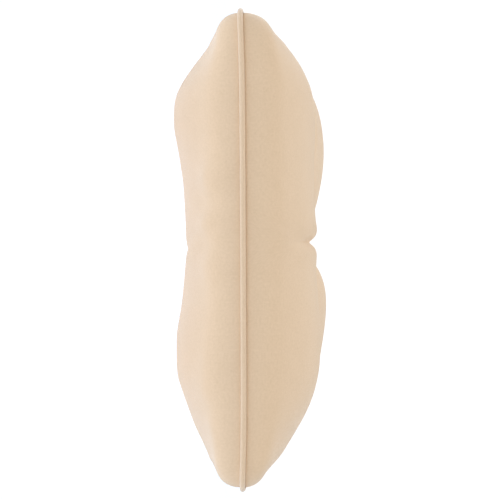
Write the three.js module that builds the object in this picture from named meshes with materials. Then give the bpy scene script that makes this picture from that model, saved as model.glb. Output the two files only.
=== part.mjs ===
// Back cushion: one filled cover, pinched together by two tufts, with a piped seam all round.
// Millimetres. X runs along the width and Y up the height, with the top edge at +Y. The cushion lies on its
// back face, its front face looks up, and the origin is under the middle of its box.

import * as THREE from 'three';
import { mergeVertices } from 'three/addons/utils/BufferGeometryUtils.js';

// Overall size, over the piping at the corners
const WIDTH = 620;
const HEIGHT = 440;

// Piping, and the groove that the cover leaves for it
const PIPING_DIAMETER = 5.5;
const PIPING_GAP = 0.75;
const GROOVE_TURN = 0.75;

// The seam: its corners, how far the middles of the sides are drawn in, and its height over the surface,
// which is a little more towards the top edge and a little less at the corners
const CORNER_RADIUS = 30;
const SHORT_SIDE_DRAW = 9;
const LONG_SIDE_DRAW = 8;
const SEAM_HEIGHT = 63;
const SEAM_RISE = 1.6;
const CORNER_DROOP = 2.5;
const DROOP_POWER = 6;

const PIPING_RADIUS = PIPING_DIAMETER / 2;
const HALF_WIDTH = WIDTH / 2 - PIPING_RADIUS;
const HALF_HEIGHT = HEIGHT / 2 - PIPING_RADIUS;
const FACE_SIDE = { front: 1, back: -1 };

// The cover's rounded edge, which stands up beside the piping. The front's is higher towards the top edge.
const EDGE_INSET = 1.6;
const EDGE_DEPTH = 14;
const EDGE_START = 3.6;
const EDGE_HEIGHT = { front: 22, back: 21 };
const EDGE_LEAN = { front: 4, back: -1.7 };

// Tufts, which lie a little above mid-height, and the dimple around each
const TUFTS = [
  { x: -105, y: 7.5 },
  { x: 106, y: 6 },
];
const TUFT_DEPTH = { front: 36, back: 25 };
const TUFT_REACH = { front: 22, back: 24 };
const TUFT_ROUND = 4;

// How far the short sides slope before the cover is full
const SLOPE_REACH = 125;
const SLOPE_POWER = 2.2;

// Filling over the edge's height, along a line up the outer lobes
const FILL_ROWS = [
  { y: HALF_HEIGHT, front: 0, back: 0 },
  { y: 205, front: 2, back: 5 },
  { y: 190, front: 16, back: 12.5 },
  { y: 175, front: 28, back: 24 },
  { y: 160, front: 36, back: 36 },
  { y: 146, front: 41, back: 43 },
  { y: 128, front: 42.5, back: 45.3 },
  { y: 100, front: 42.5, back: 40.5 },
  { y: 60, front: 43.5, back: 35.5 },
  { y: 5, front: 45, back: 33 },
  { y: -45, front: 48.5, back: 36 },
  { y: -90, front: 51.5, back: 41.2 },
  { y: -110, front: 51, back: 41 },
  { y: -130, front: 47.5, back: 35.5 },
  { y: -150, front: 40.5, back: 28 },
  { y: -170, front: 29.5, back: 20 },
  { y: -190, front: 18.5, back: 12 },
  { y: -205, front: 4.5, back: 3 },
  { y: -HALF_HEIGHT, front: 0, back: 0 },
];

// Fuller lobes: two on the front between the tufts, and the six on the back that the cushion lies on
const LOBES = [
  { face: 'front', x: 0, y: 95, halfWidth: 80, halfHeight: 60, rise: 13 },
  { face: 'front', x: 0, y: -42, halfWidth: 85, halfHeight: 55, rise: 11.5 },
  { face: 'back', x: -195, y: 121, halfWidth: 60, halfHeight: 17, rise: 2.2 },
  { face: 'back', x: 0, y: 121, halfWidth: 70, halfHeight: 20, rise: 3.2 },
  { face: 'back', x: 195, y: 122, halfWidth: 60, halfHeight: 17, rise: 2.2 },
  { face: 'back', x: -195, y: -101, halfWidth: 60, halfHeight: 26, rise: 2.2 },
  { face: 'back', x: 0, y: -99, halfWidth: 70, halfHeight: 26, rise: 2.6 },
  { face: 'back', x: 195, y: -100, halfWidth: 60, halfHeight: 26, rise: 2.2 },
];

// Folds that run out of the tufts: a valley from one tuft to the other, a pinched crease out to each short
// side, and a soft trough up and down
const FOLD_SHAPES = {
  frontValley: { face: 'front', depth: 28, halfWidth: 15, round: 4, lip: 0, fade: 20 },
  frontCrease: { face: 'front', depth: 5, halfWidth: 5.5, round: 0.5, lip: 6, fade: 90 },
  frontTrough: { face: 'front', depth: 5, halfWidth: 16, round: 14, lip: 0, fade: 120 },
  backValley: { face: 'back', depth: 16, halfWidth: 26, round: 6, lip: 0, fade: 20 },
  backCrease: { face: 'back', depth: 2.5, halfWidth: 8, round: 1, lip: 0.5, fade: 90 },
  backTrough: { face: 'back', depth: 3, halfWidth: 18, round: 14, lip: 0, fade: 110 },
};
const FOLDS = [
  { shape: 'frontValley', from: TUFTS[0], to: TUFTS[1] },
  { shape: 'frontCrease', from: TUFTS[0], to: { x: -265, y: 6.5 } },
  { shape: 'frontCrease', from: TUFTS[1], to: { x: 265, y: 8 } },
  { shape: 'frontTrough', from: TUFTS[0], to: { x: -118, y: 170 } },
  { shape: 'frontTrough', from: TUFTS[1], to: { x: 114, y: 170 } },
  { shape: 'frontTrough', from: TUFTS[0], to: { x: -116, y: -165 } },
  { shape: 'frontTrough', from: TUFTS[1], to: { x: 120, y: -165 } },
  { shape: 'backValley', from: TUFTS[0], to: TUFTS[1] },
  { shape: 'backCrease', from: TUFTS[0], to: { x: -250, y: 1 } },
  { shape: 'backCrease', from: TUFTS[1], to: { x: 250, y: 4 } },
  { shape: 'backTrough', from: TUFTS[0], to: { x: -112, y: 150 } },
  { shape: 'backTrough', from: TUFTS[1], to: { x: 114, y: 150 } },
  { shape: 'backTrough', from: TUFTS[0], to: { x: -114, y: -140 } },
  { shape: 'backTrough', from: TUFTS[1], to: { x: 112, y: -140 } },
];
const LIP_WIDTH = 17;
const FOLD_START = 20;

// Mesh steps
const GRID_STEP = 17;
const FINE_SPREAD = 16;
const FINE_COLUMNS = [
  { at: TUFTS[0].x, share: 0.6 },
  { at: TUFTS[1].x, share: 0.6 },
];
const FINE_ROWS = [
  { at: -100, share: 1 },
  { at: 7, share: 2.6 },
  { at: 121, share: 1 },
];
const STATION_SAMPLES = 2000;
const CORNER_STEPS = 6;
const EDGE_STEPS = 4;
const PIPING_STEP = 14;
const PIPING_CORNER_STEPS = 8;
const PIPING_SIDES = 8;
const MERGE_DISTANCE = 1e-4;

const COVER_COLOR = 0xe3cdb2;
const PIPING_COLOR = 0xdfc8aa;
const CLOTH_ROUGHNESS = 0.95;

function smoothStep(share) {
  const t = THREE.MathUtils.clamp(share, 0, 1);
  return t * t * (3 - 2 * t);
}

// Value of a table's column at y, along a curve that never overshoots its rows
function alongRows(rows, column, y) {
  const last = rows.length - 2;
  const below = rows.findIndex((row) => row.y <= y);
  const k = below < 0 ? last : Math.max(below - 1, 0);
  const rise = (n) => (rows[n][column] - rows[n + 1][column]) / (rows[n].y - rows[n + 1].y);
  const slopeAt = (n) => {
    if (n === 0) return rise(0);
    if (n > last) return rise(last);
    const before = rise(n - 1);
    const after = rise(n);
    return before * after > 0 ? (2 * before * after) / (before + after) : 0;
  };
  const step = rows[k + 1].y - rows[k].y;
  const t = THREE.MathUtils.clamp((y - rows[k].y) / step, 0, 1);
  return (1 + 2 * t) * (1 - t) ** 2 * rows[k][column]
    + t * (1 - t) ** 2 * step * slopeAt(k)
    + t * t * (3 - 2 * t) * rows[k + 1][column]
    + t * t * (t - 1) * step * slopeAt(k + 1);
}

// Height of the filling over the edge's height at a point of one face
function fillHeight(face, x, y) {
  const inward = THREE.MathUtils.clamp((HALF_WIDTH - Math.abs(x)) / SLOPE_REACH, 0, 1);
  let height = alongRows(FILL_ROWS, face, y) * (1 - (1 - inward) ** SLOPE_POWER);
  for (const lobe of LOBES.filter((row) => row.face === face)) {
    const away = Math.hypot((x - lobe.x) / lobe.halfWidth, (y - lobe.y) / lobe.halfHeight);
    height += lobe.rise * Math.exp(-(away ** 2));
  }
  for (const tuft of TUFTS) {
    const away = rounded(Math.hypot(x - tuft.x, y - tuft.y), TUFT_ROUND);
    height -= TUFT_DEPTH[face] * Math.exp(-away / TUFT_REACH[face]);
  }
  for (const fold of FOLDS.filter((row) => FOLD_SHAPES[row.shape].face === face)) {
    height += foldHeight(fold, x, y);
  }
  return height;
}

// Distance from a line or point, blunted close to it
function rounded(distance, round) {
  return Math.hypot(distance, round) - round;
}

// A valley with a soft lip on both sides, which fades out along its length
function foldHeight({ shape, from, to }, x, y) {
  const { depth, halfWidth, round, lip, fade } = FOLD_SHAPES[shape];
  const length = Math.hypot(to.x - from.x, to.y - from.y);
  const ux = (to.x - from.x) / length;
  const uy = (to.y - from.y) / length;
  const along = (x - from.x) * ux + (y - from.y) * uy;
  const across = Math.abs((y - from.y) * ux - (x - from.x) * uy);
  const start = smoothStep(along / FOLD_START + 0.5);
  const end = smoothStep((length + FOLD_START / 2 - along) / fade);
  const valley = (depth + lip) * Math.exp(-rounded(across, round) / halfWidth);
  return start * end * (lip * Math.exp(-((across / LIP_WIDTH) ** 2)) - valley);
}

// Height of the piping's middle over the surface
function seamHeight(x, y) {
  const toCorner = ((x * y) / (HALF_WIDTH * HALF_HEIGHT)) ** DROOP_POWER;
  return SEAM_HEIGHT + SEAM_RISE * (y / HALF_HEIGHT) - CORNER_DROOP * toCorner;
}

// Draws the middles of the four sides in, and lays a point at its height, never under the surface
function place(x, y, z) {
  const shoulderX = (HALF_WIDTH - CORNER_RADIUS) / HALF_WIDTH;
  const shoulderY = (HALF_HEIGHT - CORNER_RADIUS) / HALF_HEIGHT;
  const drawX = (SHORT_SIDE_DRAW / HALF_WIDTH) * (shoulderY ** 2 - (y / HALF_HEIGHT) ** 2);
  const drawY = (LONG_SIDE_DRAW / HALF_HEIGHT) * (shoulderX ** 2 - (x / HALF_WIDTH) ** 2);
  return new THREE.Vector3(x * (1 - drawX), y * (1 - drawY), Math.max(z, 0));
}

// A point of one face, where the edge's rounding has reached a share of its height
function facePoint(face, x, y, edgeShare) {
  const edge = EDGE_HEIGHT[face] + EDGE_LEAN[face] * (y / HALF_HEIGHT);
  return place(x, y, seamHeight(x, y) + FACE_SIDE[face] * (edge * edgeShare + fillHeight(face, x, y)));
}

// Stations from -reach to reach, closer together near the fine spots, with one station on each spot
function stations(reach, spots) {
  const density = (t) => spots.reduce((sum, spot) => (
    sum + spot.share * Math.exp(-(((t - spot.at) / FINE_SPREAD) ** 2))
  ), 1);
  const sums = [0];
  const step = (2 * reach) / STATION_SAMPLES;
  for (let k = 0; k < STATION_SAMPLES; k++) {
    sums.push(sums[k] + density(-reach + step * (k + 0.5)) * step);
  }
  const total = sums.at(-1);
  const count = Math.round(total / GRID_STEP);
  const line = Array.from({ length: count + 1 }, (_, n) => {
    const k = sums.findIndex((sum) => sum >= total * (n / count));
    return -reach + step * k;
  });
  for (const { at } of spots) {
    const nearest = line.reduce((best, t, n) => (Math.abs(t - at) < Math.abs(line[best] - at) ? n : best), 0);
    line[nearest] = at;
  }
  return line;
}

// One side of the rounded outline at an inset, from the middle of one corner to the middle of the next.
// Each point is [place along the side, distance from the cushion's middle].
function sideLine(halfAlong, halfAcross, inset, line, cornerSteps) {
  const radius = CORNER_RADIUS - inset;
  const corner = halfAlong - CORNER_RADIUS;
  const arc = [];
  for (let k = 0; k < cornerSteps / 2; k++) {
    const turn = Math.PI / 4 + (Math.PI / 2) * (k / cornerSteps);
    arc.push([corner + radius * Math.cos(turn), halfAcross - CORNER_RADIUS + radius * Math.sin(turn)]);
  }
  return [
    ...arc.map(([t, q]) => [-t, q]),
    ...line.map((t) => [t, halfAcross - inset]),
    ...arc.reverse(),
  ];
}

// The four sides of the outline at an inset, each as [x, y] points towards +X or +Y
function outlineSides(inset, columns, rows, cornerSteps) {
  const along = sideLine(HALF_WIDTH, HALF_HEIGHT, inset, columns, cornerSteps);
  const up = sideLine(HALF_HEIGHT, HALF_WIDTH, inset, rows, cornerSteps);
  return {
    bottom: along.map(([t, q]) => [t, -q]),
    top: along.map(([t, q]) => [t, q]),
    left: up.map(([t, q]) => [-q, t]),
    right: up.map(([t, q]) => [q, t]),
  };
}

// The same outline as one closed loop, counterclockwise, its first point repeated at the end
function outlineLoop(inset, columns, rows, cornerSteps) {
  const { bottom, right, top, left } = outlineSides(inset, columns, rows, cornerSteps);
  const loop = [bottom, right, top.reverse(), left.reverse()].flatMap((side) => side.slice(0, -1));
  return [...loop, loop[0]];
}

// Points inside four boundary lines, blended from them: a list of columns from left to right
function patch({ bottom, right, top, left }) {
  const shares = (line, axis) => {
    const [first, last] = [line[0][axis], line.at(-1)[axis]];
    return line.map((point) => (point[axis] - first) / (last - first));
  };
  const us = shares(bottom, 0);
  const vs = shares(left, 1);
  return us.map((u, i) => vs.map((v, j) => [0, 1].map((axis) => (
    (1 - v) * bottom[i][axis] + v * top[i][axis] + (1 - u) * left[j][axis] + u * right[j][axis]
    - (1 - u) * ((1 - v) * bottom[0][axis] + v * top[0][axis])
    - u * ((1 - v) * bottom.at(-1)[axis] + v * top.at(-1)[axis])
  ))));
}

// Adds the two triangles of every cell between two lines of points
function addStrip(corners, lineA, lineB, flipped) {
  for (let k = 0; k + 1 < lineA.length; k++) {
    const cell = [lineA[k], lineB[k], lineB[k + 1], lineA[k + 1]];
    if (flipped) cell.reverse();
    const [a, b, c, d] = cell;
    corners.push(a, b, c, a, c, d);
  }
}

function solidFrom(corners) {
  const geometry = new THREE.BufferGeometry().setFromPoints(corners);
  const merged = mergeVertices(geometry, MERGE_DISTANCE);
  merged.computeVertexNormals();
  return merged;
}

function cushionGeometry() {
  const columns = stations(HALF_WIDTH - CORNER_RADIUS, FINE_COLUMNS);
  const rows = stations(HALF_HEIGHT - CORNER_RADIUS, FINE_ROWS);
  const loopAt = (inset) => outlineLoop(inset, columns, rows, CORNER_STEPS);
  const corners = [];
  for (const face of ['front', 'back']) {
    const groove = PIPING_RADIUS + PIPING_GAP;
    const lip = groove * Math.cos(GROOVE_TURN);
    const inGroove = (z) => ([x, y]) => place(x, y, seamHeight(x, y) + FACE_SIDE[face] * z);
    const lines = [
      loopAt(groove).map(inGroove(0)),
      loopAt(lip).map(inGroove(groove * Math.sin(GROOVE_TURN))),
    ];
    const start = Math.asin(EDGE_START / EDGE_HEIGHT[face]);
    for (let k = 0; k <= EDGE_STEPS; k++) {
      const turn = start + (Math.PI / 2 - start) * (k / EDGE_STEPS);
      const inset = EDGE_INSET + EDGE_DEPTH * (1 - Math.cos(turn));
      lines.push(loopAt(inset).map(([x, y]) => facePoint(face, x, y, Math.sin(turn))));
    }
    for (let k = 0; k + 1 < lines.length; k++) {
      addStrip(corners, lines[k + 1], lines[k], face === 'back');
    }
    const sides = outlineSides(EDGE_INSET + EDGE_DEPTH, columns, rows, CORNER_STEPS);
    const grid = patch(sides).map((column) => column.map(([x, y]) => facePoint(face, x, y, 1)));
    for (let i = 0; i + 1 < grid.length; i++) {
      addStrip(corners, grid[i], grid[i + 1], face === 'back');
    }
  }
  return solidFrom(corners);
}

// A closed round cord along the seam
function pipingGeometry() {
  const even = (reach) => {
    const count = Math.round((2 * reach) / PIPING_STEP);
    return Array.from({ length: count + 1 }, (_, n) => -reach + (2 * reach * n) / count);
  };
  const columns = even(HALF_WIDTH - CORNER_RADIUS);
  const rows = even(HALF_HEIGHT - CORNER_RADIUS);
  const middle = outlineLoop(0, columns, rows, PIPING_CORNER_STEPS).slice(0, -1)
    .map(([x, y]) => place(x, y, seamHeight(x, y)));
  const rings = middle.map((point, n) => {
    const ahead = middle[(n + 1) % middle.length];
    const behind = middle.at(n - 1);
    const tangent = ahead.clone().sub(behind).normalize();
    const outward = new THREE.Vector3().crossVectors(tangent, new THREE.Vector3(0, 0, 1)).normalize();
    const upward = new THREE.Vector3().crossVectors(outward, tangent);
    return Array.from({ length: PIPING_SIDES + 1 }, (_, side) => {
      const turn = (2 * Math.PI * (side % PIPING_SIDES)) / PIPING_SIDES;
      return point.clone()
        .addScaledVector(outward, PIPING_RADIUS * Math.cos(turn))
        .addScaledVector(upward, PIPING_RADIUS * Math.sin(turn));
    });
  });
  const corners = [];
  rings.forEach((ring, n) => addStrip(corners, rings[(n + 1) % rings.length], ring, true));
  return solidFrom(corners);
}

function clothPiece(name, geometry, color) {
  const cloth = new THREE.MeshStandardMaterial({ color, roughness: CLOTH_ROUGHNESS, metalness: 0 });
  const mesh = new THREE.Mesh(geometry, cloth);
  mesh.name = name;
  return mesh;
}

const backCushion = new THREE.Group();
backCushion.name = 'back_cushion';
backCushion.add(clothPiece('cushion', cushionGeometry(), COVER_COLOR));
backCushion.add(clothPiece('piping', pipingGeometry(), PIPING_COLOR));

export default backCushion;
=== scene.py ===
"""A back cushion, lying on its back face: one filled cover, pinched together by two tufts, with a
piped seam.

Metres, in the part's frame: X runs along the width, Y up the height, and the front face looks up.
The camera looks at the short side towards -X, which is called the near one here.
"""

import math

import bpy
import numpy as np
from mathutils import Matrix, Vector


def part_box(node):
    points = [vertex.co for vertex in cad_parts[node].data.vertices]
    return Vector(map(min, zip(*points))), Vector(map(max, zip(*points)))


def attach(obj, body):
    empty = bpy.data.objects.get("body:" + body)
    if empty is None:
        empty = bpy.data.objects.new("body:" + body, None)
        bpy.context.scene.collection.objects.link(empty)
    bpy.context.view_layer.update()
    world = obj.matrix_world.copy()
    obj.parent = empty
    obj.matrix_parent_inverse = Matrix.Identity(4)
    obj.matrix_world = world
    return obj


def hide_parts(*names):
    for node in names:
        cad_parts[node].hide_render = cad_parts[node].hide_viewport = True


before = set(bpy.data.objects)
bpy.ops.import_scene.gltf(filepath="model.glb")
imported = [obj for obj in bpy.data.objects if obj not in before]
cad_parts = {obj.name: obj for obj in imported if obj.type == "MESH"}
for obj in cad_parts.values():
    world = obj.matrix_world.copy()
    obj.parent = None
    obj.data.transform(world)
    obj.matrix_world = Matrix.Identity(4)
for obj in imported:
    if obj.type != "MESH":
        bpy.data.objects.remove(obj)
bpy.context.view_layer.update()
piping_low, piping_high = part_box("piping")

# The seam's outline, with rounded corners, and sides that draw in at their middles
PIPING_RADIUS = 0.00275
HALF_WIDTH = (piping_high.x - piping_low.x) / 2 - PIPING_RADIUS
HALF_HEIGHT = (piping_high.y - piping_low.y) / 2 - PIPING_RADIUS
CORNER_RADIUS = 0.030
SHORT_SIDE_DRAW = 0.009
LONG_SIDE_DRAW = 0.008

# The seam's height over the surface
SEAM_HEIGHT = 0.063
SEAM_RISE = 0.0016  # from mid-height to the upper long side
CORNER_DROOP = 0.0025
DROOP_POWER = 6

# The groove of the cover that the piping lies in
PIPING_GAP = 0.0002
GROOVE_RADIUS = PIPING_RADIUS + PIPING_GAP
GROOVE_TURN = 0.75  # angle that each face's half of it reaches round the piping

# The cover's two faces, and the way each looks: 1 is up
FACE_SIDE = {"front": 1, "back": -1}

# The cover's rounded edge beside the piping
EDGE_INSET = 0.0022  # from the seam in to where the edge starts
EDGE_START = 0.0029  # height over the seam there
EDGE_DEPTH = 0.021  # from there in to the edge's full height
EDGE_POWER = 3  # 2 is an ellipse, more is squarer
EDGE_HEIGHT = {"front": 0.022, "back": 0.021}
EDGE_LEAN = {"front": 0.004, "back": -0.0017}  # added to the height from mid-height to the upper long side

# How far the cover comes out towards the piping along the sides
SHORT_SIDE_BULGE = 0.0004
LONG_SIDE_BULGE = 0.0015
BULGE_REACH = 0.012
BULGE_POWER = 12  # how evenly it runs along a side

# The two tufts, and the dimple around each
TUFTS = [(-0.105, 0.0075), (0.106, 0.0060)]
TUFT_DEPTH = {"front": 0.036, "back": 0.025}
TUFT_REACH = {"front": 0.022, "back": 0.024}
TUFT_ROUND = 0.004

# How far the short sides slope before the cover is full
SLOPE_REACH = 0.125
SLOPE_POWER = 2.2

# Filling over the edge's height, along a line up the outer lobes
FILL_ROWS = [
    dict(y=HALF_HEIGHT, front=0, back=0),
    dict(y=0.205, front=0.0030, back=0.0050),
    dict(y=0.190, front=0.0168, back=0.0125),
    dict(y=0.175, front=0.0284, back=0.0240),
    dict(y=0.160, front=0.0360, back=0.0360),
    dict(y=0.146, front=0.0410, back=0.0430),
    dict(y=0.128, front=0.0425, back=0.0453),
    dict(y=0.100, front=0.0425, back=0.0397),
    dict(y=0.060, front=0.0435, back=0.0345),
    dict(y=0.020, front=0.0456, back=0.0336),
    dict(y=0.005, front=0.0454, back=0.0334),
    dict(y=-0.045, front=0.0485, back=0.0351),
    dict(y=-0.090, front=0.0515, back=0.0412),
    dict(y=-0.110, front=0.0510, back=0.0410),
    dict(y=-0.130, front=0.0475, back=0.0355),
    dict(y=-0.150, front=0.0405, back=0.0280),
    dict(y=-0.170, front=0.0295, back=0.0200),
    dict(y=-0.190, front=0.0185, back=0.0120),
    dict(y=-0.205, front=0.0045, back=0.0030),
    dict(y=-HALF_HEIGHT, front=0, back=0),
]

# Fuller lobes: two on the front between the tufts, and the six on the back that the cushion lies on
LOBES = [
    dict(face="front", x=0, y=0.095, half_width=0.080, half_height=0.060, rise=0.0130),
    dict(face="front", x=0, y=-0.040, half_width=0.085, half_height=0.054, rise=0.0125),
    dict(face="back", x=-0.195, y=0.121, half_width=0.060, half_height=0.017, rise=0.0022),
    dict(face="back", x=0, y=0.121, half_width=0.070, half_height=0.020, rise=0.0032),
    dict(face="back", x=0.195, y=0.122, half_width=0.060, half_height=0.017, rise=0.0022),
    dict(face="back", x=-0.195, y=-0.101, half_width=0.060, half_height=0.026, rise=0.0022),
    dict(face="back", x=0, y=-0.099, half_width=0.070, half_height=0.026, rise=0.0026),
    dict(face="back", x=0.195, y=-0.100, half_width=0.060, half_height=0.026, rise=0.0022),
]

# Shallow swells and hollows of the filling by the near short side
SWELLS = [
    dict(face="back", x=-0.291, y=0.065, half_width=0.021, half_height=0.014, rise=0.0040),
    dict(face="back", x=-0.290, y=0.044, half_width=0.024, half_height=0.010, rise=-0.0016),
    dict(face="back", x=-0.285, y=0.024, half_width=0.021, half_height=0.012, rise=0.0034),
    dict(face="back", x=-0.285, y=0.004, half_width=0.024, half_height=0.010, rise=-0.0012),
    dict(face="back", x=-0.289, y=-0.016, half_width=0.021, half_height=0.014, rise=0.0025),
    dict(face="back", x=-0.250, y=-0.065, half_width=0.050, half_height=0.024, rise=0.0012),
    dict(face="back", x=-0.297, y=-0.102, half_width=0.018, half_height=0.014, rise=0.0026),
    dict(face="back", x=-0.287, y=-0.126, half_width=0.021, half_height=0.012, rise=0.0030),
    dict(face="back", x=-0.294, y=-0.143, half_width=0.018, half_height=0.009, rise=-0.0014),
    dict(face="back", x=-0.294, y=-0.158, half_width=0.018, half_height=0.009, rise=0.0016),
    dict(face="front", x=-0.262, y=0.110, half_width=0.050, half_height=0.030, rise=-0.0010),
    dict(face="front", x=-0.262, y=-0.050, half_width=0.050, half_height=0.030, rise=0.0010),
    dict(face="front", x=-0.255, y=-0.110, half_width=0.045, half_height=0.025, rise=-0.0010),
]

# Sections of the folds out of the tufts: round blunts the valley, lips swell beside it, and fade ends it
FOLD_SHAPES = {
    "front valley": dict(face="front", depth=0.028, half_width=0.0138, round=0.004, lip=0, fade=0.020),
    "front crease": dict(face="front", depth=0.005, half_width=0.0046, round=0.0005, lip=0.0072, fade=0.080),
    "front trough": dict(face="front", depth=0.005, half_width=0.016, round=0.014, lip=0, fade=0.120),
    "back valley": dict(face="back", depth=0.016, half_width=0.026, round=0.006, lip=0, fade=0.020),
    "back crease": dict(face="back", depth=0.0012, half_width=0.008, round=0.001, lip=0.0005, fade=0.090),
    "back trough": dict(face="back", depth=0.003, half_width=0.018, round=0.014, lip=0, fade=0.110),
}
LIP_WIDTH = 0.017
FOLD_START = 0.020  # length that a fold starts over

# The folds: each widens along its way by its spread, and is bent sideways by its bow
FOLDS = [
    dict(shape="front valley", start=TUFTS[0], end=TUFTS[1], spread=0, bow=0),
    dict(shape="front crease", start=TUFTS[0], end=(-0.280, 0.0065), spread=0.9, bow=0.0005),
    dict(shape="front crease", start=TUFTS[1], end=(0.272, 0.008), spread=0.9, bow=-0.0035),
    dict(shape="front trough", start=TUFTS[0], end=(-0.118, 0.170), spread=0.4, bow=0.004),
    dict(shape="front trough", start=TUFTS[1], end=(0.114, 0.170), spread=0.3, bow=-0.005),
    dict(shape="front trough", start=TUFTS[0], end=(-0.116, -0.165), spread=0.3, bow=-0.004),
    dict(shape="front trough", start=TUFTS[1], end=(0.120, -0.165), spread=0.4, bow=0.003),
    dict(shape="back valley", start=TUFTS[0], end=TUFTS[1], spread=0, bow=0),
    dict(shape="back crease", start=TUFTS[0], end=(-0.250, 0.001), spread=0.6, bow=0),
    dict(shape="back crease", start=TUFTS[1], end=(0.250, 0.004), spread=0.6, bow=0.003),
    dict(shape="back trough", start=TUFTS[0], end=(-0.112, 0.150), spread=0.3, bow=-0.004),
    dict(shape="back trough", start=TUFTS[1], end=(0.114, 0.150), spread=0.3, bow=0.004),
    dict(shape="back trough", start=TUFTS[0], end=(-0.114, -0.140), spread=0.3, bow=0.003),
    dict(shape="back trough", start=TUFTS[1], end=(0.112, -0.140), spread=0.3, bow=-0.003),
]

# Mesh of the cover, finer near the tufts and along the creases: the place, and how much denser it is there
COVER_STEP = 0.0068
FINE_COLUMNS = [(tuft_x, 0.9) for tuft_x, tuft_y in TUFTS]
FINE_ROWS = [(0.007, 2.2)]
FINE_SPREAD = 0.014
STATION_SAMPLES = 4000
CORNER_STEPS = 10
GROOVE_STEPS = 2
EDGE_STEPS = 8
MERGE_DISTANCE = 1e-7

# Mesh of the piping, and the waves in its thickness: their number round the seam, start and size
PIPING_STEP = 0.0045
PIPING_CORNER_STEPS = 14
PIPING_SIDES = 10
PIPING_WAVES = [(37, 0.1, 0.012), (61, 0.45, 0.010), (113, 0.8, 0.008)]

# Settling the cover as cloth
EASE = 0.012  # share that it is cut larger than its filling
EASE_START = 0.020  # distance from the short sides where the ease starts
EASE_FULL = 0.150  # and where it is full
TUFT_HOLD = 0.004  # radius that a tuft holds
SETTLE_FRAMES = 30
CLOTH_SETTINGS = dict(
    quality=6,
    mass=0.1,
    tension_stiffness=15,
    compression_stiffness=15,
    shear_stiffness=3,
    bending_stiffness=1.5,
    tension_damping=5,
    compression_damping=5,
    shear_damping=5,
    bending_damping=0.5,
    air_damping=5,
    use_pressure=True,
    uniform_pressure_force=5,
    vertex_group_mass="held",
    vertex_group_shrink="tight",
    shrink_min=-EASE,
    shrink_max=0,
)
BROAD_PASSES = 60  # of averaging, which leave the broad swelling without its wrinkles
WRINKLE_CAP = 0.003

# Colours of the cloth, linear, and the share of each kind of unevenness in its tone
CLOTH_DARK = (0.730, 0.537, 0.345, 1)
CLOTH_LIGHT = (0.815, 0.612, 0.420, 1)
TONE_RANGE = (0.31, 0.69)  # tones that are the dark and the light colour
SLUB_TONE = 0.45
MOTTLE_TONE = 0.15
GRAIN_TONE = 0.40

# Threads of the cloth
CLOTH_MAP = "cloth"
COVER_PITCH = 0.00065
PIPING_PITCH = 0.00055
BIAS_TURN = math.pi / 4
WOBBLE_SIZE = 0.5  # share of the pitch
WOBBLE_SCALE = 900
WOBBLE_DETAIL = 2
NOISE_MIDDLE = (0.5, 0.5, 0.5)
SLUB_LENGTH = 0.014
SLUB_DETAIL = 3
MOTTLE_SCALE = 60
MOTTLE_DETAIL = 3
GRAIN_SCALE = 420
GRAIN_DETAIL = 1

# Relief and sheen of the cloth
WEAVE_RELIEF = 0.7
SLUB_RELIEF = 0.6
RELIEF_DEPTH = 0.00018
RELIEF_STRENGTH = 0.6
CLOTH_ROUGHNESS = 0.95
CLOTH_SPECULAR = 0.15
COVER_SHEEN = 0.55
PIPING_SHEEN = 1.0
SHEEN_ROUGHNESS = 0.45
SHEEN_TINT = (1.0, 0.97, 0.93, 1)

# The floor, and the far wall round it
WHITE = (1, 1, 1, 1)
BLACK = (0, 0, 0, 1)
FLOOR_REACH = 30
FLOOR_COLOR = (0.40, 0.40, 0.40, 1)
FLOOR_ROUGHNESS = 0.9
FLOOR_GLOW = 0.87
FLOOR_GLOW_COLOR = (0.90, 1.0, 1.17, 1)
WALL_REACH = 30
WALL_HEIGHT = 5
WALL_SIDES = 64
WALL_GLOW = 1.05

# Light: a key from beyond the far short side, and a fill from above
WORLD_STRENGTH = 0.42
KEY_PLACE = (1.1, 0.8, 1.25)
KEY_SIZE = (0.9, 0.9)
KEY_POWER = 11
FILL_PLACE = (-0.45, 0, 1.9)
FILL_SIZE = (1.6, 1.6)
FILL_POWER = 18.5

# The camera, just over the surface
CAMERA_PLACE = (-3.710, 0, 0.0693)
CAMERA_ROLL = math.radians(0.71)
CAMERA_LENS = 271.8
SENSOR_WIDTH = 36


def smooth_step(share):
    """A share from 0 to 1, eased at both ends."""
    t = np.clip(share, 0, 1)
    return t * t * (3 - 2 * t)


def unit(vectors):
    """Vectors drawn to length 1."""
    return vectors / np.linalg.norm(vectors, axis=-1, keepdims=True)


def rounded(distance, blunt):
    """Distance from a line or point, blunted close to it."""
    return np.hypot(distance, blunt) - blunt


def along_rows(rows, column, y):
    """Values of a table's column at y, along a curve that never overshoots its rows."""
    ys = np.array([row["y"] for row in rows])[::-1]
    values = np.array([row[column] for row in rows], float)[::-1]
    steps = np.diff(ys)
    rises = np.diff(values) / steps
    slopes = np.zeros(len(ys))
    slopes[0] = rises[0]
    slopes[-1] = rises[-1]
    product = rises[:-1] * rises[1:]
    total = rises[:-1] + rises[1:]
    slopes[1:-1] = np.where(product > 0, 2 * product / np.where(total == 0, 1, total), 0)
    k = np.clip(np.searchsorted(ys, y, side="right") - 1, 0, len(steps) - 1)
    t = np.clip((y - ys[k]) / steps[k], 0, 1)
    return (
        (1 + 2 * t) * (1 - t) ** 2 * values[k]
        + t * (1 - t) ** 2 * steps[k] * slopes[k]
        + t * t * (3 - 2 * t) * values[k + 1]
        + t * t * (t - 1) * steps[k] * slopes[k + 1]
    )


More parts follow.
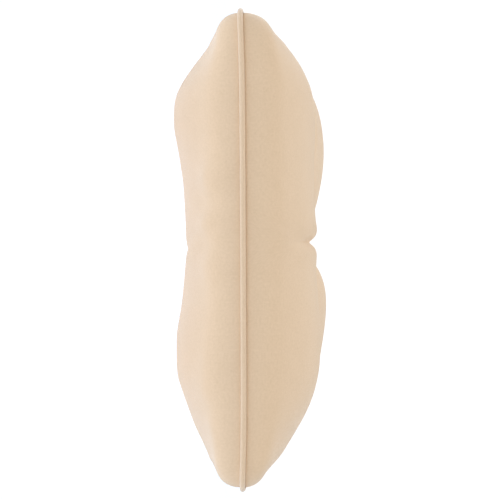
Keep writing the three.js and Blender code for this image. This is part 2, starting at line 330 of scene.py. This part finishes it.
def fold_height(fold, x, y):
    """A valley with a soft lip on both sides, which fades out along its length."""
    shape = FOLD_SHAPES[fold["shape"]]
    (x0, y0), (x1, y1) = fold["start"], fold["end"]
    length = math.hypot(x1 - x0, y1 - y0)
    ux, uy = (x1 - x0) / length, (y1 - y0) / length
    along = (x - x0) * ux + (y - y0) * uy
    share = np.clip(along / length, 0, 1)
    across = np.abs((y - y0) * ux - (x - x0) * uy - fold["bow"] * np.sin(math.pi * share))
    half_width = shape["half_width"] * (1 + fold["spread"] * share)
    starting = smooth_step(along / FOLD_START + 0.5)
    ending = smooth_step((length + FOLD_START / 2 - along) / shape["fade"])
    lip = shape["lip"] * np.exp(-((across / LIP_WIDTH) ** 2))
    valley = (shape["depth"] + shape["lip"]) * np.exp(-rounded(across, shape["round"]) / half_width)
    return starting * ending * (lip - valley)


def fill_height(face, x, y):
    """Height of the filling over the edge's height at points of one face."""
    inward = np.clip((HALF_WIDTH - np.abs(x)) / SLOPE_REACH, 0, 1)
    height = along_rows(FILL_ROWS, face, y) * (1 - (1 - inward) ** SLOPE_POWER)
    for lobe in LOBES + SWELLS:
        if lobe["face"] == face:
            away = np.hypot((x - lobe["x"]) / lobe["half_width"], (y - lobe["y"]) / lobe["half_height"])
            height = height + lobe["rise"] * np.exp(-(away**2))
    for tuft_x, tuft_y in TUFTS:
        away = rounded(np.hypot(x - tuft_x, y - tuft_y), TUFT_ROUND)
        height = height - TUFT_DEPTH[face] * np.exp(-away / TUFT_REACH[face])
    for fold in FOLDS:
        if FOLD_SHAPES[fold["shape"]]["face"] == face:
            height = height + fold_height(fold, x, y)
    return height


def seam_height(x, y):
    """Height of the piping's middle over the surface."""
    to_corner = ((x * y) / (HALF_WIDTH * HALF_HEIGHT)) ** DROOP_POWER
    return SEAM_HEIGHT + SEAM_RISE * (y / HALF_HEIGHT) - CORNER_DROOP * to_corner


def place(points, z):
    """Draws the middles of the four sides in, and lays points at their height, never under the surface."""
    x, y = points[..., 0], points[..., 1]
    shoulder_x = (HALF_WIDTH - CORNER_RADIUS) / HALF_WIDTH
    shoulder_y = (HALF_HEIGHT - CORNER_RADIUS) / HALF_HEIGHT
    draw_x = SHORT_SIDE_DRAW / HALF_WIDTH * (shoulder_y**2 - (y / HALF_HEIGHT) ** 2)
    draw_y = LONG_SIDE_DRAW / HALF_HEIGHT * (shoulder_x**2 - (x / HALF_WIDTH) ** 2)
    return np.stack([x * (1 - draw_x), y * (1 - draw_y), np.maximum(z, 0)], axis=-1)


def bulge(across, half_across, share_along):
    """Share of a side's bulge, outwards: full at the side's middle, none at its ends and further in."""
    near = np.exp(-(((half_across - np.abs(across)) / BULGE_REACH) ** 2))
    return np.sign(across) * near * (1 - share_along**BULGE_POWER)


def face_points(face, points, edge_share):
    """Points of one face, where the edge's rounding has reached a share of its height."""
    x, y = points[..., 0], points[..., 1]
    edge = EDGE_HEIGHT[face] + EDGE_LEAN[face] * (y / HALF_HEIGHT)
    height = edge * edge_share + fill_height(face, x, y)
    placed = place(points, seam_height(x, y) + FACE_SIDE[face] * height)
    placed[..., 0] += SHORT_SIDE_BULGE * bulge(x, HALF_WIDTH, y / HALF_HEIGHT)
    placed[..., 1] += LONG_SIDE_BULGE * bulge(y, HALF_HEIGHT, x / HALF_WIDTH)
    return placed


def stations(reach, step, spots=()):
    """Places from -reach to reach, about a step apart, closer together near the spots, with one on each."""
    samples = np.linspace(-reach, reach, STATION_SAMPLES + 1)
    density = np.ones_like(samples)
    for at, denser in spots:
        density += denser * np.exp(-(((samples - at) / FINE_SPREAD) ** 2))
    sums = np.concatenate([[0], np.cumsum((density[1:] + density[:-1]) / 2 * np.diff(samples))])
    count = round(sums[-1] / step)
    line = np.interp(np.linspace(0, sums[-1], count + 1), sums, samples)
    for at, _ in spots:
        line[np.abs(line - at).argmin()] = at
    return line


def side_line(half_along, half_across, inset, line, corner_steps):
    """One side of the rounded outline at an inset, from the middle of one corner to the middle of the next:
    an array of [place along the side, distance from the cushion's middle]."""
    radius = CORNER_RADIUS - inset
    turns = math.pi / 4 + math.pi / 2 * np.arange(corner_steps // 2) / corner_steps
    arc_along = half_along - CORNER_RADIUS + radius * np.cos(turns)
    arc_across = half_across - CORNER_RADIUS + radius * np.sin(turns)
    arc = np.stack([arc_along, arc_across], axis=1)
    straight = np.stack([line, np.full(len(line), half_across - inset)], axis=1)
    return np.concatenate([arc * [-1, 1], straight, arc[::-1]])


def outline_sides(inset, columns, rows, corner_steps):
    """The four sides of the outline at an inset, each as [x, y] points towards +X or +Y."""
    along = side_line(HALF_WIDTH, HALF_HEIGHT, inset, columns, corner_steps)
    up = side_line(HALF_HEIGHT, HALF_WIDTH, inset, rows, corner_steps)
    return {
        "bottom": along * [1, -1],
        "top": along,
        "left": up[:, ::-1] * [-1, 1],
        "right": up[:, ::-1],
    }


def outline_loop(inset, columns, rows, corner_steps):
    """The same outline as one open-ended loop, counterclockwise."""
    sides = outline_sides(inset, columns, rows, corner_steps)
    return np.concatenate(
        [sides["bottom"][:-1], sides["right"][:-1], sides["top"][:0:-1], sides["left"][:0:-1]]
    )


def patch(sides):
    """Points inside four boundary lines, blended from them: an array by column and row."""
    bottom, top, left, right = (sides[name] for name in ("bottom", "top", "left", "right"))
    u = ((bottom[:, 0] - bottom[0, 0]) / (bottom[-1, 0] - bottom[0, 0]))[:, None, None]
    v = ((left[:, 1] - left[0, 1]) / (left[-1, 1] - left[0, 1]))[None, :, None]
    return (
        (1 - v) * bottom[:, None]
        + v * top[:, None]
        + (1 - u) * left[None]
        + u * right[None]
        - (1 - u) * ((1 - v) * bottom[0] + v * top[0])
        - u * ((1 - v) * bottom[-1] + v * top[-1])
    )


def rim(grid):
    """The border of an array by column and row, as one open-ended loop, counterclockwise."""
    return np.concatenate([grid[:-1, 0], grid[-1, :-1], grid[:0:-1, -1], grid[0, :0:-1]])


def numbered(points):
    """Vertex numbers of an array of points by line and place."""
    return np.arange(points[..., 0].size).reshape(points.shape[:2])


def quads(index, closed):
    """Corners of the cells of an array of vertex numbers, which may close on itself along its lines."""
    if closed:
        index = np.concatenate([index, index[:, :1]], axis=1)
    cells = [index[:-1, :-1], index[1:, :-1], index[1:, 1:], index[:-1, 1:]]
    return np.stack([cell.ravel() for cell in cells], axis=1)


def listed(*arrays):
    """Some arrays of points or cells, joined into one list."""
    return np.concatenate([points.reshape(-1, points.shape[-1]) for points in arrays])


def lengths_along(points, axis, middle):
    """Signed length of cloth along one axis of an array of points, from its middle line."""
    steps = np.linalg.norm(np.diff(points, axis=axis), axis=-1)
    pad = [(1, 0) if n == axis else (0, 0) for n in range(steps.ndim)]
    sums = np.cumsum(np.pad(steps, pad), axis=axis)
    return sums - np.take(sums, [middle], axis=axis)


def edge_lines(face, columns, rows):
    """The lines round one face, from the seam inwards, through its half of the groove and over its rounded
    edge: their places in the plan, and their points."""
    plans, lines = [], []
    for turn in np.linspace(0, GROOVE_TURN, GROOVE_STEPS + 1):
        plan = outline_loop(GROOVE_RADIUS * math.cos(turn), columns, rows, CORNER_STEPS)
        over_seam = FACE_SIDE[face] * GROOVE_RADIUS * math.sin(turn)
        plans.append(plan)
        lines.append(place(plan, seam_height(plan[:, 0], plan[:, 1]) + over_seam))
    first_share = EDGE_START / EDGE_HEIGHT[face]
    first_turn = math.acos((1 - first_share**2) ** (1 / EDGE_POWER))
    for turn in np.linspace(first_turn, math.pi / 2, EDGE_STEPS + 1)[:-1]:
        inset = EDGE_INSET + EDGE_DEPTH * (1 - math.cos(turn))
        plan = outline_loop(inset, columns, rows, CORNER_STEPS)
        plans.append(plan)
        lines.append(face_points(face, plan, math.sqrt(1 - math.cos(turn) ** EDGE_POWER)))
    return np.array(plans), np.array(lines)


def cloth_places(plans, lines, inner_plan, inner):
    """Places on the flat cloth, from its middle, of the points of a face's lines and inside them."""
    middle_column = np.abs(inner_plan[:, 0, 0]).argmin()
    middle_row = np.abs(inner_plan[0, :, 1]).argmin()
    along_width = lengths_along(inner, 0, middle_column)
    along_height = lengths_along(inner, 1, middle_row)
    inner_cloth = np.stack([along_width, along_height], axis=-1)
    steps = np.linalg.norm(np.diff(np.concatenate([lines, rim(inner)[None]]), axis=0), axis=-1)
    from_inner = np.cumsum(steps[::-1], axis=0)[::-1]
    line_cloth = rim(inner_cloth)[None] + unit(plans[0] - plans[-1])[None] * from_inner[..., None]
    return line_cloth, inner_cloth


def cover_face(face, columns, rows):
    """One face of the cover with its rounded edge and its half of the groove: the plan, the position and
    the place on the cloth of each point, and its cells."""
    plans, lines = edge_lines(face, columns, rows)
    inner_plan = patch(outline_sides(EDGE_INSET + EDGE_DEPTH, columns, rows, CORNER_STEPS))
    inner = face_points(face, inner_plan, 1)
    line_index = numbered(lines)
    inner_index = line_index.size + numbered(inner)
    strips = quads(np.concatenate([line_index, rim(inner_index)[None]]), closed=True)[:, ::-1]
    cells = np.concatenate([strips, quads(inner_index, closed=False)])
    return dict(
        plan=listed(plans, inner_plan),
        points=listed(lines, inner),
        cloth=listed(*cloth_places(plans, lines, inner_plan, inner)),
        cells=cells if face == "front" else cells[:, ::-1],
    )


def new_mesh(name, points, cells):
    mesh = bpy.data.meshes.new(name)
    mesh.from_pydata(points.tolist(), [], cells.tolist())
    return mesh


def add_object(name, data):
    """Puts a mesh, light or camera into the scene."""
    made = bpy.data.objects.new(name, data)
    bpy.context.scene.collection.objects.link(made)
    return made


def add_cloth_piece(name, points, cells, cloth_at_corners, material):
    """A smooth piece, whose UV map holds the place on the cloth of each cell's corners, in metres."""
    mesh = new_mesh(name, points, cells)
    uv_map = mesh.uv_layers.new(name=CLOTH_MAP)
    uv_map.data.foreach_set("uv", cloth_at_corners.astype(np.float32).ravel())
    mesh.polygons.foreach_set("use_smooth", [True] * len(mesh.polygons))
    mesh.materials.append(material)
    mesh.update()
    piece = add_object(name, mesh)
    smooth = piece.modifiers.new("smooth", "SUBSURF")
    smooth.levels = 1
    smooth.render_levels = 1
    smooth.uv_smooth = "PRESERVE_BOUNDARIES"
    return piece


def inset_from_seam(plan):
    """Distance of plan points from the outline, inwards."""
    inset = np.minimum(HALF_WIDTH - np.abs(plan[:, 0]), HALF_HEIGHT - np.abs(plan[:, 1]))
    past = np.abs(plan) - [HALF_WIDTH - CORNER_RADIUS, HALF_HEIGHT - CORNER_RADIUS]
    in_corner = (past > 0).all(axis=1)
    inset[in_corner] = CORNER_RADIUS - np.linalg.norm(past[in_corner], axis=1)
    return inset


def smoothed(values, cells, passes):
    """Values at the vertices, averaged with their neighbours' a number of times."""
    edges = np.concatenate([np.stack([cells[:, n], cells[:, (n + 1) % 4]], axis=1) for n in range(4)])
    edges = np.unique(np.sort(edges, axis=1), axis=0)
    ends, others = edges.ravel(), edges[:, ::-1].ravel()
    degree = np.bincount(ends, minlength=len(values))[:, None]
    for _ in range(passes):
        sums = [np.bincount(ends, values[others, axis], len(values)) for axis in range(values.shape[1])]
        values = (values + np.stack(sums, axis=1) / degree) / 2
    return values


def add_weights(sheet, name, weights):
    """Gives the vertices of a sheet their weights in a new group."""
    group = sheet.vertex_groups.new(name=name)
    for vertex, weight in enumerate(weights.tolist()):
        group.add([vertex], weight, "REPLACE")


def swollen(points, cells, held, tight):
    """Where the points come to rest under the filling's pressure, as cloth that is fixed where it is held,
    and cut to size where it is tight and larger elsewhere."""
    sheet = add_object("settling", new_mesh("settling", points, cells))
    add_weights(sheet, "held", held)
    add_weights(sheet, "tight", tight)
    cloth = sheet.modifiers.new("cloth", "CLOTH")
    for name, value in CLOTH_SETTINGS.items():
        setattr(cloth.settings, name, value)
    cloth.settings.effector_weights.gravity = 0
    cloth.point_cache.frame_start = 1
    cloth.point_cache.frame_end = SETTLE_FRAMES
    scene = bpy.context.scene
    for step in range(1, SETTLE_FRAMES + 1):
        scene.frame_set(step)
    settled = sheet.evaluated_get(bpy.context.evaluated_depsgraph_get()).to_mesh()
    at_rest = np.empty(len(points) * 3, np.float32)
    settled.vertices.foreach_get("co", at_rest)
    bpy.data.objects.remove(sheet)
    scene.frame_set(1)
    return at_rest.reshape(-1, 3).astype(float)


def settle(points, cells, plan):
    """Lets the cover settle as cloth, with its seam and tufts held. Keeps the wrinkles and puckers of that
    on the form that it had before, fading towards the short sides."""
    held = inset_from_seam(plan) < GROOVE_RADIUS + MERGE_DISTANCE
    for tuft in TUFTS:
        held |= np.linalg.norm(plan - tuft, axis=1) < TUFT_HOLD
    from_side = HALF_WIDTH - np.abs(plan[:, 0])
    tight = 1 - smooth_step((from_side - EASE_START) / (EASE_FULL - EASE_START))
    moved = swollen(points, cells, held.astype(float), tight) - points
    wrinkles = moved - smoothed(moved, cells, BROAD_PASSES)
    size = np.linalg.norm(wrinkles, axis=1)
    kept_share = np.minimum(size, WRINKLE_CAP) / np.maximum(size, MERGE_DISTANCE) * (1 - tight)
    settled = points + wrinkles * kept_share[:, None]
    settled[:, 2] = np.maximum(settled[:, 2], 0)
    return settled


def make_cover(material):
    """The filled cover: its two faces, joined at the bottom of the groove."""
    columns = stations(HALF_WIDTH - CORNER_RADIUS, COVER_STEP, FINE_COLUMNS)
    rows = stations(HALF_HEIGHT - CORNER_RADIUS, COVER_STEP, FINE_ROWS)
    front = cover_face("front", columns, rows)
    back = cover_face("back", columns, rows)
    all_points = listed(front["points"], back["points"])
    all_cells = listed(front["cells"], back["cells"] + len(front["points"]))
    cloth_at_corners = listed(front["cloth"], back["cloth"])[all_cells]
    places = np.round(all_points / MERGE_DISTANCE).astype(int)
    _, first, merged = np.unique(places, axis=0, return_index=True, return_inverse=True)
    points = all_points[first]
    cells = merged.reshape(-1)[all_cells]
    points = settle(points, cells, listed(front["plan"], back["plan"])[first])
    return add_cloth_piece("cushion_cover", points, cells, cloth_at_corners, material)


def make_piping(material):
    """A round cord along the seam, with a little unevenness in its thickness."""
    columns = stations(HALF_WIDTH - CORNER_RADIUS, PIPING_STEP)
    rows = stations(HALF_HEIGHT - CORNER_RADIUS, PIPING_STEP)
    plan = outline_loop(0, columns, rows, PIPING_CORNER_STEPS)
    middle = place(plan, seam_height(plan[:, 0], plan[:, 1]))
    tangent = unit(np.roll(middle, -1, axis=0) - np.roll(middle, 1, axis=0))
    outward = unit(np.cross(tangent, [0, 0, 1]))
    upward = np.cross(outward, tangent)

    steps = np.linalg.norm(np.roll(middle, -1, axis=0) - middle, axis=1)
    along = np.concatenate([[0], np.cumsum(steps)])
    share = along[:-1] / along[-1]
    uneven = 0
    for waves, start, size in PIPING_WAVES:
        uneven = uneven + size * np.sin(2 * math.pi * (waves * share + start))
    radius = PIPING_RADIUS * (1 + uneven)[:, None, None]
    turns = (2 * math.pi * np.arange(PIPING_SIDES) / PIPING_SIDES)[None, :, None]
    points = middle[:, None] + radius * (np.cos(turns) * outward[:, None] + np.sin(turns) * upward[:, None])
    index = numbered(points)
    cells = quads(np.concatenate([index, index[:1]]), closed=True)

    around = 2 * math.pi * PIPING_RADIUS * np.arange(PIPING_SIDES + 1) / PIPING_SIDES
    cloth = np.stack(np.meshgrid(along, around, indexing="ij"), axis=-1)
    cloth_at_corners = listed(cloth)[quads(numbered(cloth), closed=False)]
    return add_cloth_piece("piping_cord", listed(points), cells, cloth_at_corners, material)


class Nodes:
    """The nodes of a material. An input is named by its label, with _ for a space, or numbered i0, i1."""

    def __init__(self, name):
        self.material = bpy.data.materials.new(name)
        self.material.use_nodes = True
        self.tree = self.material.node_tree
        self.shader = self.tree.nodes["Principled BSDF"]

    def set(self, node, **values):
        """Links a socket to each input of a node, or sets the input's value."""
        for key, value in values.items():
            socket = node.inputs[int(key[1:]) if key[1:].isdigit() else key.replace("_", " ")]
            if isinstance(value, bpy.types.NodeSocket):
                self.tree.links.new(value, socket)
            else:
                socket.default_value = value

    def add(self, kind, settings=None, **values):
        """A new node, with its settings and inputs."""
        node = self.tree.nodes.new("ShaderNode" + kind)
        for key, value in (settings or {}).items():
            setattr(node, key, value)
        self.set(node, **values)
        return node

    def math(self, operation, first, second=0):
        return self.add("Math", {"operation": operation}, i0=first, i1=second).outputs[0]

    def vector_math(self, operation, first, **values):
        return self.add("VectorMath", {"operation": operation}, i0=first, **values).outputs[0]

    def noise(self, vector, scale, detail):
        return self.add("TexNoise", Vector=vector, Scale=scale, Detail=detail)


def weave_height(nodes, cloth, pitch):
    """Height of a plain weave, from 0 between its threads to 1 on them. The threads wander a little."""
    wobble = nodes.noise(cloth, WOBBLE_SCALE, WOBBLE_DETAIL).outputs["Color"]
    centred = nodes.vector_math("SUBTRACT", wobble, i1=NOISE_MIDDLE)
    shift = nodes.vector_math("SCALE", centred, Scale=pitch * WOBBLE_SIZE)
    threads = nodes.add("SeparateXYZ", Vector=nodes.vector_math("ADD", cloth, i1=shift))
    waves = []
    for axis in ("X", "Y"):
        angle = nodes.math("MULTIPLY", threads.outputs[axis], math.pi / pitch)
        waves.append(nodes.math("ABSOLUTE", nodes.math("SINE", angle)))
    return nodes.math("MULTIPLY", *waves)


def slub_height(nodes, cloth, pitch):
    """Uneven thickness of the threads, drawn out along them in both directions."""
    slubs = []
    for stretch in ((1 / SLUB_LENGTH, 1 / pitch, 1), (1 / pitch, 1 / SLUB_LENGTH, 1)):
        drawn = nodes.add("Mapping", Vector=cloth, Scale=stretch).outputs["Vector"]
        slubs.append(nodes.noise(drawn, 1, SLUB_DETAIL).outputs["Fac"])
    return nodes.math("MULTIPLY", nodes.math("ADD", *slubs), 0.5)


def weighted_sum(nodes, *terms):
    """Sum of some outputs, each given with its weight."""
    total, *others = (nodes.math("MULTIPLY", value, weight) for value, weight in terms)
    for other in others:
        total = nodes.math("ADD", total, other)
    return total


def cloth_material(name, pitch, turn, sheen):
    """Plain woven cotton canvas. Its threads follow the cloth map, turned by an angle for cloth cut on the
    bias."""
    nodes = Nodes(name)
    uv = nodes.add("UVMap", {"uv_map": CLOTH_MAP}).outputs["UV"]
    cloth = nodes.add("Mapping", Vector=uv, Rotation=(0, 0, turn)).outputs["Vector"]
    weave = weave_height(nodes, cloth, pitch)
    slub = slub_height(nodes, cloth, pitch)
    mottle = nodes.noise(cloth, MOTTLE_SCALE, MOTTLE_DETAIL).outputs["Fac"]
    grain = nodes.noise(cloth, GRAIN_SCALE, GRAIN_DETAIL).outputs["Fac"]

    tone = weighted_sum(nodes, (slub, SLUB_TONE), (mottle, MOTTLE_TONE), (grain, GRAIN_TONE))
    ramp = nodes.add("ValToRGB", Fac=tone)
    for stop, position, color in zip(ramp.color_ramp.elements, TONE_RANGE, (CLOTH_DARK, CLOTH_LIGHT)):
        stop.position = position
        stop.color = color
    relief = weighted_sum(nodes, (weave, WEAVE_RELIEF), (slub, SLUB_RELIEF))
    bump = nodes.add("Bump", Height=relief, Strength=RELIEF_STRENGTH, Distance=RELIEF_DEPTH)
    nodes.set(
        nodes.shader,
        Base_Color=ramp.outputs["Color"],
        Roughness=CLOTH_ROUGHNESS,
        Specular_IOR_Level=CLOTH_SPECULAR,
        Sheen_Weight=sheen,
        Sheen_Roughness=SHEEN_ROUGHNESS,
        Sheen_Tint=SHEEN_TINT,
        Normal=bump.outputs["Normal"],
    )
    return nodes.material


def add_stage(name, points, cells, **look):
    """A surface round the object, in a plain material of its own."""
    nodes = Nodes("pale_" + name)
    nodes.set(nodes.shader, **look)
    mesh = new_mesh(name, points, cells)
    mesh.materials.append(nodes.material)
    add_object(name, mesh)


def make_floor():
    """A pale floor with some light of its own, so that it stays even under the soft light."""
    corners = np.array([(-1, -1, 0), (1, -1, 0), (1, 1, 0), (-1, 1, 0)], float)
    add_stage(
        "floor",
        FLOOR_REACH * corners,
        np.array([(0, 1, 2, 3)]),
        Base_Color=FLOOR_COLOR,
        Roughness=FLOOR_ROUGHNESS,
        Emission_Color=FLOOR_GLOW_COLOR,
        Emission_Strength=FLOOR_GLOW,
    )


def make_wall():
    """A wall far round the floor, white by its own light."""
    turns = 2 * math.pi * np.arange(WALL_SIDES) / WALL_SIDES
    ring = WALL_REACH * np.stack([np.cos(turns), np.sin(turns), 0 * turns], axis=1)
    near = np.arange(WALL_SIDES)
    far = (near + 1) % WALL_SIDES
    add_stage(
        "wall",
        np.concatenate([ring, ring + [0, 0, WALL_HEIGHT]]),
        np.stack([near, far, far + WALL_SIDES, near + WALL_SIDES], axis=1),
        Base_Color=BLACK,
        Emission_Color=WHITE,
        Emission_Strength=WALL_GLOW,
    )


def make_world():
    """White light from all round, and colours shown as they are."""
    world = bpy.data.worlds.new("studio")
    world.use_nodes = True
    background = world.node_tree.nodes["Background"]
    background.inputs["Color"].default_value = WHITE
    background.inputs["Strength"].default_value = WORLD_STRENGTH
    bpy.context.scene.world = world
    bpy.context.scene.view_settings.view_transform = "Standard"


def make_light(name, at, size, power):
    """A soft light that faces the cushion."""
    light = bpy.data.lights.new(name, "AREA")
    light.shape = "RECTANGLE"
    light.size, light.size_y = size
    light.energy = power
    lamp = add_object(name, light)
    lamp.location = at
    lamp.rotation_euler = (-Vector(at)).to_track_quat("-Z", "Y").to_euler()


def make_camera():
    """A camera that looks along +X, with the cushion's height up and its front to the right."""
    sine, cosine = math.sin(CAMERA_ROLL), math.cos(CAMERA_ROLL)
    turn = Matrix(((0, 0, -1), (-sine, cosine, 0), (cosine, sine, 0)))
    lens = bpy.data.cameras.new("camera")
    lens.lens = CAMERA_LENS
    lens.sensor_width = SENSOR_WIDTH
    camera = add_object("camera", lens)
    camera.matrix_world = Matrix.Translation(CAMERA_PLACE) @ turn.to_4x4()
    bpy.context.scene.camera = camera


make_camera()
make_world()
make_floor()
make_wall()
make_light("key", KEY_PLACE, KEY_SIZE, KEY_POWER)
make_light("fill", FILL_PLACE, FILL_SIZE, FILL_POWER)

cover = make_cover(cloth_material("cover_canvas", COVER_PITCH, 0, COVER_SHEEN))
piping = make_piping(cloth_material("piping_canvas", PIPING_PITCH, BIAS_TURN, PIPING_SHEEN))

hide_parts("cushion")
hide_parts("piping")
for piece, slot in ((cover, "cover_cloth"), (piping, "piping_cloth")):
    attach(piece, "root")
